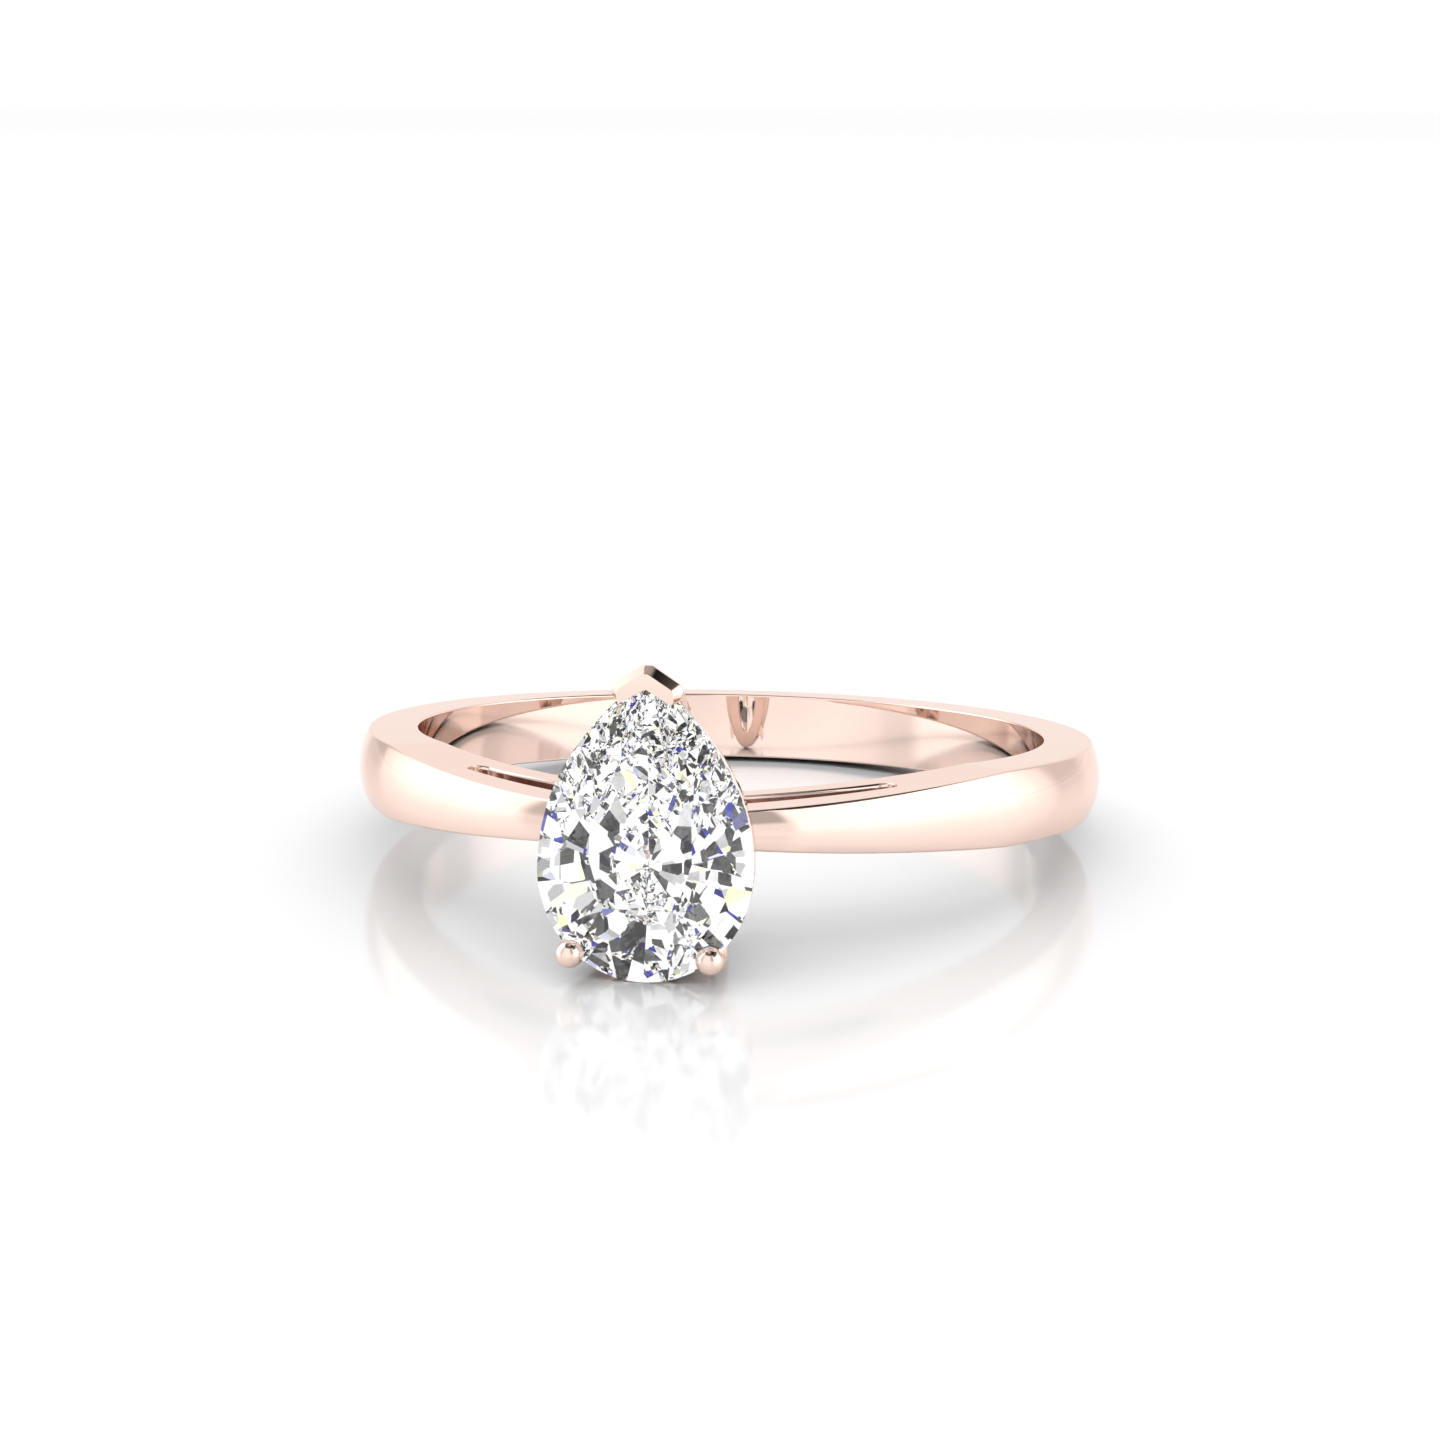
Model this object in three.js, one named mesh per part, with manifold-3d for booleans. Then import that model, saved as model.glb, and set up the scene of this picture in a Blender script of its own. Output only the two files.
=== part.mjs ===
// A pear-cut solitaire engagement ring in rose gold, lying on its side.
//
// Millimetres. Two frames are used while drawing:
//   ring frame: the finger axis is Z, the head points to -Y, and the origin is the centre of the finger hole.
//   head frame: Z is the distance out from the finger's centre and Y runs along the finger, tip of the pear up.
// The whole ring is then laid down, +Z up, on the back edge of the shank and the round end of the stone.

import Module from 'manifold-3d';
import * as THREE from 'three';
import { ConvexGeometry } from 'three/addons/geometries/ConvexGeometry.js';
import { mergeVertices } from 'three/addons/utils/BufferGeometryUtils.js';

const degrees = THREE.MathUtils.degToRad;

// The band
const FINGER_RADIUS = 8.46; // US size 6 1/2
const BAND_WIDTH = 1.92; // along the finger, all round the back
const BRIDGE_WIDTH = 0.67; // along the finger, under the middle of the head
const TAPER_START = degrees(52); // angle from the head where the band starts to narrow
const TAPER_POWER = 1.09;
const EDGE_THICKNESS = 1.28; // of the band where its side face meets the domed outside
const DOME_RISE = 0.25; // of the outside above its edges, where the band is full width
const SHOULDER_RISE = 2.0; // how far the outside climbs from the band to the head
const SHOULDER_SPREAD = degrees(36); // how gently it does so
const BORE_CHAMFER = 0.06;

// The split in each shoulder: a slot between the finger bridge and the outer arm
const BRIDGE_THICKNESS = 0.77;
const SLOT_END = degrees(33.2); // angle from the head of the slot's round end
const SLOT_HEIGHT = 0.66; // at the round end
const SLOT_GROWTH = 1.57; // mm of extra height for each radian nearer the head
const SEAM = degrees(36); // where the arms and the bridge are soldered to the shank
const ARM_END = degrees(9.3); // where each arm stops under the seat rail
const SOLDER = 0.02; // film of solder between two pieces

// The stone, a 7.1 x 5.0 mm pear brilliant
const PEAR_HALF_WIDTH = 2.5;
const PEAR_BELOW = 2.574; // from the widest row to the round end
const PEAR_ABOVE = 4.52; // from the widest row to the tip
const PEAR_POWER = 2.16; // fullness of the sides towards the tip
const WIDEST_ROW = -0.8; // height of the widest row along the finger
const GIRDLE_OUT = 12.71; // the girdle's distance from the finger's centre
const GIRDLE_THICKNESS = 0.14;
const CROWN_HEIGHT = 0.72;
const PAVILION_DEPTH = 2.14;
const TABLE_SCALE = 0.57;
const BEZEL_SCALE = 0.84; // outline through the middle of the crown
const BEZEL_SHARE = 0.42; // of the crown's height

// The two rails of the basket
// Each runs from near to far, as distances from the finger's centre.
// The seat rail's walls are the stone's outline drawn in by these insets, outside and inside, at its two ends.
const SEAT_RAIL = {
  near: 11.36,
  far: 12.28,
  outerInsets: [0.26, 0.045],
  innerInsets: [0.62, 0.36],
};
// The base rail's walls are the stone's outline scaled across, towards the round end and towards the tip.
const BASE_RAIL = {
  near: 9.26,
  far: 9.76,
  outerScales: [0.66, 0.84, 0.78],
  innerScales: [0.31, 0.63, 0.6],
};

// The claws
const BALL_RADIUS = 0.32;
const BALL_CENTRE = new THREE.Vector3(1.61, -2.71, 13.25);
const WIRE_RADIUS = 0.22;
const WIRE_ROUTE = [
  new THREE.Vector3(1.24, -2.28, 9.32),
  new THREE.Vector3(1.47, -2.58, 11.0),
  new THREE.Vector3(1.68, -2.86, 12.3),
  new THREE.Vector3(1.66, -2.79, 13.1),
];
const CHEVRON_TIP = 3.97; // outer point of the V claw
const CHEVRON_SLOPE = 0.713; // fall along the finger for each mm sideways
const CHEVRON_REACH = 0.83; // half width of the V claw
const CHEVRON_FLAT = 0.1; // half width of the little flat that blunts its outer point
const PLATE_NOTCH = 3.35; // inner point of the V, over the stone
const PLATE_BEVEL = 0.22; // of the outer border, measured along the finger
const PLATE_FRONT = 13.13;
const PLATE_BACK = 12.82; // where the bevel ends and the upright wall starts
const PLATE_LIP = 0.02; // upright part of the plate's edge
const WALL_DEPTH = 0.4; // of the wall under the plate, measured along the finger
const WALL_FOOT = 9.3;
const WALL_FOOT_TIP = 2.86; // outer point of the wall's foot, over the tip of the base rail
const WALL_FOOT_REACH = 0.42; // half width of the wall's foot

const SHANK_STEPS = 60;
const DOME_STEPS = 8;
const STATION_STEPS = 9;
const TIP_STEPS = 4;
const QUARTER_STEPS = 6;
const FLANK_STEPS = 8;

const wasm = await Module();
wasm.setup();

const ROSE_GOLD = { color: 0xe6b59d, metalness: 1.0, roughness: 0.12 };
const DIAMOND = { color: 0xf2f6fa, metalness: 0.0, roughness: 0.02 };

function roseGold() {
  return new THREE.MeshStandardMaterial(ROSE_GOLD);
}

// ---- Helpers ----

// Triangles that fill a flat outline, wound the same way as the outline.
function fill(outline) {
  const faces = THREE.ShapeUtils.triangulateShape(outline, []);
  const first = faces[0].map((i) => outline[i]);
  const same = THREE.ShapeUtils.area(first) * THREE.ShapeUtils.area(outline) > 0;
  return same ? faces : faces.map(([a, b, c]) => [a, c, b]);
}

function signedVolume(positions, index) {
  const [a, b, c] = [new THREE.Vector3(), new THREE.Vector3(), new THREE.Vector3()];
  let total = 0;
  for (let i = 0; i < index.length; i += 3) {
    a.fromArray(positions, 3 * index[i]);
    b.fromArray(positions, 3 * index[i + 1]);
    c.fromArray(positions, 3 * index[i + 2]);
    total += a.dot(b.cross(c)) / 6;
  }
  return total;
}

// A closed solid through flat sections with equal numbers of points. place(point, i) puts section i's points in space.
function loft(sections, place) {
  const count = sections[0].length;
  const last = (sections.length - 1) * count;
  const positions = sections.flatMap((section, i) => section.flatMap((p) => place(p, i).toArray()));
  const index = [];
  for (let base = 0; base < last; base += count) {
    for (let k = 0; k < count; k += 1) {
      const a = base + k;
      const b = base + ((k + 1) % count);
      index.push(a, b, b + count, a, b + count, a + count);
    }
  }
  fill(sections[0]).forEach(([a, b, c]) => index.push(a, c, b));
  fill(sections.at(-1)).forEach(([a, b, c]) => index.push(last + a, last + b, last + c));
  const outward = signedVolume(positions, index) > 0 ? index : index.reverse();
  const geometry = new THREE.BufferGeometry();
  geometry.setAttribute('position', new THREE.Float32BufferAttribute(positions, 3));
  geometry.setIndex(outward);
  return geometry;
}

function toManifold(geometry) {
  const bare = geometry.clone();
  bare.deleteAttribute('normal');
  bare.deleteAttribute('uv');
  const merged = mergeVertices(bare, 1e-5);
  const vertProperties = Float32Array.from(merged.attributes.position.array);
  const triVerts = Uint32Array.from(merged.index.array);
  return new wasm.Manifold(new wasm.Mesh({ numProp: 3, vertProperties, triVerts }));
}

function toGeometry(manifold) {
  const mesh = manifold.getMesh();
  const geometry = new THREE.BufferGeometry();
  geometry.setAttribute('position', new THREE.Float32BufferAttribute(mesh.vertProperties, 3));
  geometry.setIndex(new THREE.Uint32BufferAttribute(mesh.triVerts, 1));
  return geometry;
}

function named(name, geometry, material) {
  geometry.computeVertexNormals();
  const mesh = new THREE.Mesh(geometry, material);
  mesh.name = name;
  return mesh;
}

// ---- The band, in the ring frame ----

// Width along the finger at an angle from the head.
function bandWidth(angle) {
  const share = Math.min(Math.abs(angle) / TAPER_START, 1);
  return BRIDGE_WIDTH + (BAND_WIDTH - BRIDGE_WIDTH) * (1 - (1 - share) ** TAPER_POWER);
}

// Radius of the edge between the flat side and the domed outside.
function edgeRadius(angle) {
  const climb = SHOULDER_RISE * Math.exp(-((angle / SHOULDER_SPREAD) ** 2));
  return FINGER_RADIUS + EDGE_THICKNESS + climb;
}

const SLOT_MIDDLE = FINGER_RADIUS + BRIDGE_THICKNESS + SLOT_HEIGHT / 2;
const SLOT_TURN = SLOT_END - SLOT_HEIGHT / 2 / SLOT_MIDDLE; // where the slot's round end begins

// Radii of the two walls of the slot, which close on the solder joint past the round end.
function slotWalls(angle) {
  const around = Math.abs(angle);
  if (around < SLOT_TURN) {
    const under = FINGER_RADIUS + BRIDGE_THICKNESS;
    return [under, under + SLOT_HEIGHT + SLOT_GROWTH * (SLOT_TURN - around)];
  }
  const along = SLOT_MIDDLE * (around - SLOT_TURN);
  const half = Math.sqrt(Math.max((SLOT_HEIGHT / 2) ** 2 - along ** 2, (SOLDER / 2) ** 2));
  return [SLOT_MIDDLE - half, SLOT_MIDDLE + half];
}

// A section of the band between two radii: x is the radius, y runs along the finger.
function bandSection(angle, inner, chamfer, outer, rise) {
  const half = bandWidth(angle) / 2;
  const points = [
    new THREE.Vector2(inner, -half + chamfer),
    new THREE.Vector2(inner, half - chamfer),
    new THREE.Vector2(inner + chamfer, half),
  ];
  for (let i = 0; i <= DOME_STEPS; i += 1) {
    const across = 1 - (2 * i) / DOME_STEPS;
    points.push(new THREE.Vector2(outer + rise * (1 - across ** 2), half * across));
  }
  points.push(new THREE.Vector2(inner + chamfer, -half));
  return points;
}

function domeRise(angle) {
  return DOME_RISE * (bandWidth(angle) / BAND_WIDTH);
}

function shankSection(angle) {
  return bandSection(angle, FINGER_RADIUS, BORE_CHAMFER, edgeRadius(angle), domeRise(angle));
}

function armSection(angle) {
  return bandSection(angle, slotWalls(angle)[1], BORE_CHAMFER / 2, edgeRadius(angle), domeRise(angle));
}

function bridgeSection(angle) {
  return bandSection(angle, FINGER_RADIUS, BORE_CHAMFER, slotWalls(angle)[0], 0);
}

// A solid swept round the finger through the sections at the given angles.
function sweep(angles, section) {
  const place = (p, i) => new THREE.Vector3(p.x * Math.sin(angles[i]), -p.x * Math.cos(angles[i]), p.y);
  return loft(angles.map(section), place);
}

function evenly(from, to, steps) {
  return Array.from({ length: steps + 1 }, (_, i) => from + ((to - from) * i) / steps);
}

const shankEnd = SEAM + SOLDER / SLOT_MIDDLE;
const shankGeometry = sweep(evenly(shankEnd, 2 * Math.PI - shankEnd, SHANK_STEPS), (angle) => {
  return shankSection(angle > Math.PI ? angle - 2 * Math.PI : angle);
});

const slotEndAngles = [...evenly(SLOT_TURN, SLOT_END, TIP_STEPS), SEAM];
const rightArmAngles = [...evenly(ARM_END, SLOT_TURN, STATION_STEPS).slice(0, -1), ...slotEndAngles];
const leftArmAngles = rightArmAngles.map((angle) => -angle);
const bridgeAngles = [
  ...slotEndAngles.map((angle) => -angle).reverse(),
  ...evenly(-SLOT_TURN, SLOT_TURN, 2 * STATION_STEPS).slice(1, -1),
  ...slotEndAngles,
];

// ---- The pear outline and the stone, in the head frame ----

// Half widths and rows of the pear, as an outline running anticlockwise from the round end.
function pearOutline(halfWidth, below, above) {
  const right = evenly(0, Math.PI / 2, QUARTER_STEPS).map((turn) => {
    return new THREE.Vector2(halfWidth * Math.sin(turn), -below * Math.cos(turn));
  });
  evenly(0, 1, FLANK_STEPS).slice(1).forEach((rise) => {
    right.push(new THREE.Vector2(halfWidth * (1 - rise ** PEAR_POWER), above * rise));
  });
  const left = right.slice(1, -1).map((p) => new THREE.Vector2(-p.x, p.y)).reverse();
  return [...right, ...left].map((p) => p.setY(p.y + WIDEST_ROW));
}

function scaledPear(across, below, above) {
  return pearOutline(PEAR_HALF_WIDTH * across, PEAR_BELOW * below, PEAR_ABOVE * above);
}

const TIP_STRETCH = 1.3; // how much faster the blunt tip moves than the sides as the outline shrinks

function insetPear(inset) {
  return pearOutline(PEAR_HALF_WIDTH - inset, PEAR_BELOW - inset, PEAR_ABOVE - TIP_STRETCH * inset);
}

// The stone. grow makes the slightly larger copy that the claws' seats are cut with.
function stoneGeometry(grow) {
  const top = GIRDLE_OUT + GIRDLE_THICKNESS / 2;
  const bottom = GIRDLE_OUT - GIRDLE_THICKNESS / 2;
  const ring = (outline, height) => outline.map((p) => new THREE.Vector3(p.x, p.y, height));
  const girdle = insetPear(-grow);
  const bezel = scaledPear(BEZEL_SCALE, BEZEL_SCALE, BEZEL_SCALE).filter((_, i) => i % 2 === 0);
  const table = scaledPear(TABLE_SCALE, TABLE_SCALE, TABLE_SCALE).filter((_, i) => i % 2 === 0);
  return new ConvexGeometry([
    ...ring(girdle, top + grow),
    ...ring(girdle, bottom - grow),
    ...ring(bezel, top + CROWN_HEIGHT * BEZEL_SHARE + grow),
    ...ring(table, top + CROWN_HEIGHT + grow),
    new THREE.Vector3(0, WIDEST_ROW, bottom - PAVILION_DEPTH - grow),
  ]);
}

const stoneCutter = toManifold(stoneGeometry(SOLDER));

// ---- The claws, in the head frame ----

// A round wire claw with a ball tip, side +1 on the right and -1 on the left.
function wireClaw(side, grow) {
  const mirror = new THREE.Vector3(side, 1, 1);
  const route = new THREE.CatmullRomCurve3(WIRE_ROUTE.map((p) => p.clone().multiply(mirror)));
  const section = new THREE.Shape();
  section.absarc(0, 0, WIRE_RADIUS + grow, 0, 2 * Math.PI);
  const wire = new THREE.ExtrudeGeometry(section, { steps: 8, extrudePath: route, curveSegments: 5 });
  const ball = new THREE.SphereGeometry(BALL_RADIUS + grow, 14, 10);
  ball.translate(BALL_CENTRE.x * side, BALL_CENTRE.y, BALL_CENTRE.z);
  return toManifold(wire).add(toManifold(ball));
}

// One V-shaped outline: blunted outer point, rounded arm ends and inner point.
function chevron(tip, reach, endSteps, notch) {
  const corner = tip - CHEVRON_SLOPE * reach;
  const right = [
    new THREE.Vector2(CHEVRON_FLAT, tip - CHEVRON_SLOPE * CHEVRON_FLAT),
    new THREE.Vector2(reach, corner),
    ...endSteps.map(([inward, down]) => new THREE.Vector2(reach - inward, corner - down)),
  ];
  const left = right.map((p) => new THREE.Vector2(-p.x, p.y)).reverse();
  return [...right, new THREE.Vector2(0, notch), ...left];
}

// Rounded arm ends, as steps inward and down from the outer corner.
const PLATE_END = [[0.02, 0.2], [0.14, 0.35], [0.38, 0.38]];
const WALL_END = [[0.02, 0.14], [0.14, 0.24]];

// The V claw: a bevelled plate over the stone's tip on an upright wall that leans in to the base rail.
function vClaw(grow) {
  const tip = CHEVRON_TIP + grow;
  const reach = CHEVRON_REACH + grow;
  const front = chevron(tip - PLATE_BEVEL, reach - PLATE_BEVEL / 2, PLATE_END, PLATE_NOTCH - grow);
  const back = chevron(tip, reach, PLATE_END, PLATE_NOTCH - grow);
  const plateHeights = [PLATE_BACK - PLATE_LIP, PLATE_BACK, PLATE_FRONT + grow];
  const plate = loft([back, back, front], (p, i) => new THREE.Vector3(p.x, p.y, plateHeights[i]));
  const foot = chevron(WALL_FOOT_TIP + grow, WALL_FOOT_REACH + grow, WALL_END, WALL_FOOT_TIP - WALL_DEPTH - grow);
  const top = chevron(tip, reach, WALL_END, CHEVRON_TIP - WALL_DEPTH - grow);
  const wallHeights = [WALL_FOOT - grow, PLATE_BACK];
  const wall = loft([foot, top], (p, i) => new THREE.Vector3(p.x, p.y, wallHeights[i]));
  return toManifold(plate).add(toManifold(wall));
}

const clawCutter = wireClaw(1, SOLDER).add(wireClaw(-1, SOLDER)).add(vClaw(SOLDER));

// ---- The rails, in the head frame ----

// A pear-shaped slab whose outline may change between its two faces.
function slab(outlines, heights) {
  return toManifold(loft(outlines, (p, i) => new THREE.Vector3(p.x, p.y, heights[i])));
}

function rail(outer, inner, near, far) {
  const hole = slab([inner[0], ...inner, inner[1]], [near - 1, near, far, far + 1]);
  return slab(outer, [near, far]).subtract(hole).subtract(clawCutter);
}

function seatRail() {
  const { near, far, outerInsets, innerInsets } = SEAT_RAIL;
  return rail(outerInsets.map(insetPear), innerInsets.map(insetPear), near, far);
}

function baseRail() {
  const { near, far, outerScales, innerScales } = BASE_RAIL;
  const outer = scaledPear(...outerScales);
  const inner = scaledPear(...innerScales);
  return rail([outer, outer], [inner, inner], near, far);
}

// The arms are let in under the seat rail: what is inside its outline and beyond its near face is cut away.
const armCutter = slab(
  SEAT_RAIL.outerInsets.map((inset) => insetPear(inset - SOLDER)),
  [SEAT_RAIL.near - SOLDER, SEAT_RAIL.far],
).rotate([90, 0, 0]);

function armGeometry(angles) {
  return toGeometry(toManifold(sweep(angles, armSection)).subtract(armCutter));
}

// ---- Assembly ----

const band = new THREE.Group();
band.add(
  named('shank', shankGeometry, roseGold()),
  named('shoulder_left', armGeometry(leftArmAngles), roseGold()),
  named('shoulder_right', armGeometry(rightArmAngles), roseGold()),
  named('under_bridge', sweep(bridgeAngles, bridgeSection), roseGold()),
);

const head = new THREE.Group();
head.rotation.x = Math.PI / 2;
head.add(
  named('base_rail', toGeometry(baseRail()), roseGold()),
  named('seat_rail', toGeometry(seatRail()), roseGold()),
  named('v_claw', toGeometry(vClaw(0).subtract(stoneCutter)), roseGold()),
  named('claw_left', toGeometry(wireClaw(-1, 0).subtract(stoneCutter)), roseGold()),
  named('claw_right', toGeometry(wireClaw(1, 0).subtract(stoneCutter)), roseGold()),
  named('stone', stoneGeometry(0), new THREE.MeshStandardMaterial(DIAMOND)),
);

// The ring rests on the back edge of the shank and on the round end of the stone's girdle.
const backEdge = { out: edgeRadius(Math.PI), down: BAND_WIDTH / 2 };
const stoneEnd = { out: GIRDLE_OUT - GIRDLE_THICKNESS / 2, down: PEAR_BELOW - WIDEST_ROW };
const lean = Math.atan2(stoneEnd.down - backEdge.down, stoneEnd.out + backEdge.out);

const ring = new THREE.Group();
ring.add(band, head);
ring.rotation.x = -lean;
const box = new THREE.Box3().setFromObject(ring, true);
const centre = box.getCenter(new THREE.Vector3());
ring.position.set(-centre.x, -centre.y, -box.min.z);

const root = new THREE.Group();
root.add(ring);

export default root;
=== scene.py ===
import math

import bmesh
import bpy
from mathutils import Matrix, Vector


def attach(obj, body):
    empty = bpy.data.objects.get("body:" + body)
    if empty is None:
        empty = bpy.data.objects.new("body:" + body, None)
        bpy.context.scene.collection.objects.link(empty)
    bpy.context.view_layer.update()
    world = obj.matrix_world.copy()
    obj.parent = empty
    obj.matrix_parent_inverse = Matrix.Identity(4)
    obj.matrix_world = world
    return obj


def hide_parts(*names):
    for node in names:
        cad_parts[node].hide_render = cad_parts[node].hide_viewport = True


# A pear-cut solitaire engagement ring in rose gold, lying on its side.

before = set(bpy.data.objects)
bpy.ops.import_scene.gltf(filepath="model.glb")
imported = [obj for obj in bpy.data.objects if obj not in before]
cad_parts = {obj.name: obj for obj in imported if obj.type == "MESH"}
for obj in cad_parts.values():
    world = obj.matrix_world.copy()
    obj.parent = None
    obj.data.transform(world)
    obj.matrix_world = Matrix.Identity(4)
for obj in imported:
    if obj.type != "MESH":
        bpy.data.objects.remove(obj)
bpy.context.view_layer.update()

MM = 0.001

# ---- The ring's dimensions, in millimetres ----

# They are the CAD model's, apart from a dome that is 0.003 lower and a crown that is 0.16 lower.

FINGER_RADIUS = 8.46
BAND_WIDTH, BRIDGE_WIDTH = 1.92, 0.67
TAPER_START, TAPER_POWER = math.radians(52), 1.09
EDGE_THICKNESS, DOME_RISE = 1.28, 0.247
SHOULDER_RISE, SHOULDER_SPREAD = 2.0, math.radians(36)
BRIDGE_THICKNESS = 0.77
SLOT_END, SLOT_HEIGHT, SLOT_GROWTH = math.radians(33.2), 0.66, 1.57
SEAM, ARM_END = math.radians(36), math.radians(9.3)
PEAR_HALF_WIDTH, PEAR_BELOW, PEAR_ABOVE, PEAR_POWER = 2.5, 2.574, 4.52, 2.16
WIDEST_ROW = -0.8
GIRDLE_OUT, GIRDLE_THICKNESS = 12.71, 0.14
CROWN_HEIGHT, PAVILION_DEPTH = 0.56, 2.14
TIP_STRETCH = 1.3

# The ring frame has the finger axis as Z and the head towards -Y.
# The head frame has Z out from the finger and the tip of the pear up Y.
# Both lie in the row frame like this.
LEAN = math.radians(6.156359)
RING_CENTRE = Vector((0.0, 1.9159003, 1.9990018))
RING = Matrix.Translation(RING_CENTRE) @ Matrix.Rotation(-LEAN, 4, "X")
HEAD = RING @ Matrix.Rotation(math.pi / 2, 4, "X")

# ---- Mesh helpers ----


def line(a, b):
    return lambda t: (a[0] + (b[0] - a[0]) * t, a[1] + (b[1] - a[1]) * t)


def fillet(a, corner, b):
    """A rounded corner that leaves a towards the corner and arrives at b from it."""

    def at(t):
        k = ((1 - t) ** 2, 2 * t * (1 - t), t * t)
        return tuple(k[0] * a[i] + k[1] * corner[i] + k[2] * b[i] for i in (0, 1))

    return at


def spread(counts):
    """Parameters along a closed path whose segments are cut into these numbers of steps."""
    return [seg + i / n for seg, n in enumerate(counts) for i in range(n)]


def along(path, v):
    v %= len(path)
    seg = min(int(v), len(path) - 1)
    return path[seg](v - seg)


def new_object(name, mesh, place):
    mesh.transform(Matrix.Scale(MM, 4) @ place)
    mesh.update()
    ob = bpy.data.objects.new(name, mesh)
    bpy.context.scene.collection.objects.link(ob)
    return ob


def skin(name, us, vs, point, place, ring_u=False, ring_v=True, caps=True):
    """A smooth closed surface through point(u, v), shaded by the surface's own normals."""
    step = 1e-4
    rows, cols = len(us), len(vs)
    verts, normals = [], []
    for u in us:
        for v in vs:
            du = Vector(point(u + step, v)) - Vector(point(u - step, v))
            dv = Vector(point(u, v + step)) - Vector(point(u, v - step))
            verts.append(Vector(point(u, v)))
            normals.append(du.cross(dv).normalized())
    faces = []
    for i in range(rows if ring_u else rows - 1):
        for j in range(cols if ring_v else cols - 1):
            a, b = i * cols + j, i * cols + (j + 1) % cols
            c, d = ((i + 1) % rows) * cols + (j + 1) % cols, ((i + 1) % rows) * cols + j
            faces.append((a, b, c, d))
    smooth = len(faces)
    if caps:
        faces.append(tuple(reversed(range(cols))))
        faces.append(tuple((rows - 1) * cols + j for j in range(cols)))
    mesh = bpy.data.meshes.new(name)
    mesh.from_pydata(verts, [], faces)
    mesh.update()
    # the winding and the normals are turned outwards together
    sample = mesh.polygons[0]
    turned = sample.normal.dot(normals[sample.vertices[0]]) < 0
    volume = sum(
        verts[p.vertices[0]].dot(verts[p.vertices[k]].cross(verts[p.vertices[k + 1]]))
        for p in mesh.polygons
        for k in range(1, len(p.vertices) - 1)
    )
    if volume < 0:
        mesh.flip_normals()
    if (volume < 0) != turned:
        normals = [-n for n in normals]
    mesh.update()
    corners = []
    for p in mesh.polygons:
        p.use_smooth = p.index < smooth
        for v in p.vertices:
            corners.append(normals[v] if p.index < smooth else p.normal.copy())
    mesh.normals_split_custom_set(corners)
    return new_object(name, mesh, place)


# ---- The band ----


def band_width(angle):
    share = min(abs(angle) / TAPER_START, 1)
    return BRIDGE_WIDTH + (BAND_WIDTH - BRIDGE_WIDTH) * (1 - (1 - share) ** TAPER_POWER)


def edge_radius(angle):
    return FINGER_RADIUS + EDGE_THICKNESS + SHOULDER_RISE * math.exp(-((angle / SHOULDER_SPREAD) ** 2))


SLOT_MIDDLE = FINGER_RADIUS + BRIDGE_THICKNESS + SLOT_HEIGHT / 2
SLOT_TURN = SLOT_END - SLOT_HEIGHT / 2 / SLOT_MIDDLE
BAND_FILLET, SLOT_FILLET, BRIDGE_FILLET, BORE_FILLET, CLOSED = 0.06, 0.035, 0.11, 0.07, 0.002


def section(angle, inner, outer, rise, inner_fillet, outer_fillet):
    """The rounded outline of the band between two radii, as (radius, distance along the finger)."""
    half = band_width(angle) / 2
    fi, fo = inner_fillet, outer_fillet
    edge = 1 - fo / half

    def dome(t):
        across = edge * (1 - 2 * t)
        return (outer + rise * (1 - across**2), half * across)

    top = dome(0)
    lean = 2 * rise * edge / half  # fall of the radius with distance from the middle, at the fillet
    meet = (top[0] - lean * (half - top[1]), half)
    return [
        line((inner, -half + fi), (inner, half - fi)),
        fillet((inner, half - fi), (inner, half), (inner + fi, half)),
        line((inner + fi, half), (meet[0] - fo, half)),
        fillet((meet[0] - fo, half), meet, top),
        dome,
        fillet((top[0], -top[1]), (meet[0], -half), (meet[0] - fo, -half)),
        line((meet[0] - fo, -half), (inner + fi, -half)),
        fillet((inner + fi, -half), (inner, -half), (inner, -half + fi)),
    ]


SECTION_STEPS = spread([4, 5, 4, 5, 26, 5, 4, 5])


def dome_rise(angle):
    return DOME_RISE * band_width(angle) / BAND_WIDTH


def slot_walls(s):
    """The angle, the two radii of the slot's walls and the fillet at station s.

    Stations 0 to 1 run along the slot, 1 to 2 round its end and 2 to 3 along the closed joint to the shank.
    """
    if s <= 1:
        angle = ARM_END + (SLOT_TURN - ARM_END) * s
        low = FINGER_RADIUS + BRIDGE_THICKNESS
        return angle, low, low + SLOT_HEIGHT + SLOT_GROWTH * (SLOT_TURN - angle), SLOT_FILLET
    if s <= 2:
        turn = (s - 1) * math.pi / 2
        half = SLOT_HEIGHT / 2 * math.cos(turn)
        angle = SLOT_TURN + SLOT_HEIGHT / 2 / SLOT_MIDDLE * math.sin(turn)
        return angle, SLOT_MIDDLE - half, SLOT_MIDDLE + half, max(SLOT_FILLET * math.cos(turn) ** 0.5, CLOSED)
    return SLOT_END + (SEAM - SLOT_END) * (s - 2), SLOT_MIDDLE, SLOT_MIDDLE, CLOSED


def turned(radius, angle, height):
    return (radius * math.sin(angle), -radius * math.cos(angle), height)


def even(a, b, n):
    return [a + (b - a) * i / n for i in range(n + 1)]


def shank_point(angle, v):
    around = angle if angle <= math.pi else angle - 2 * math.pi
    path = section(around, FINGER_RADIUS, edge_radius(around), dome_rise(around), BORE_FILLET, BAND_FILLET)
    r, y = along(path, v)
    return turned(r, angle, y)


def arm_point(side):
    def point(s, v):
        angle, _, low, soft = slot_walls(s)
        r, y = along(section(angle, low, edge_radius(angle), dome_rise(angle), soft, BAND_FILLET), v)
        return turned(r, side * angle, y)

    return point


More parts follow.
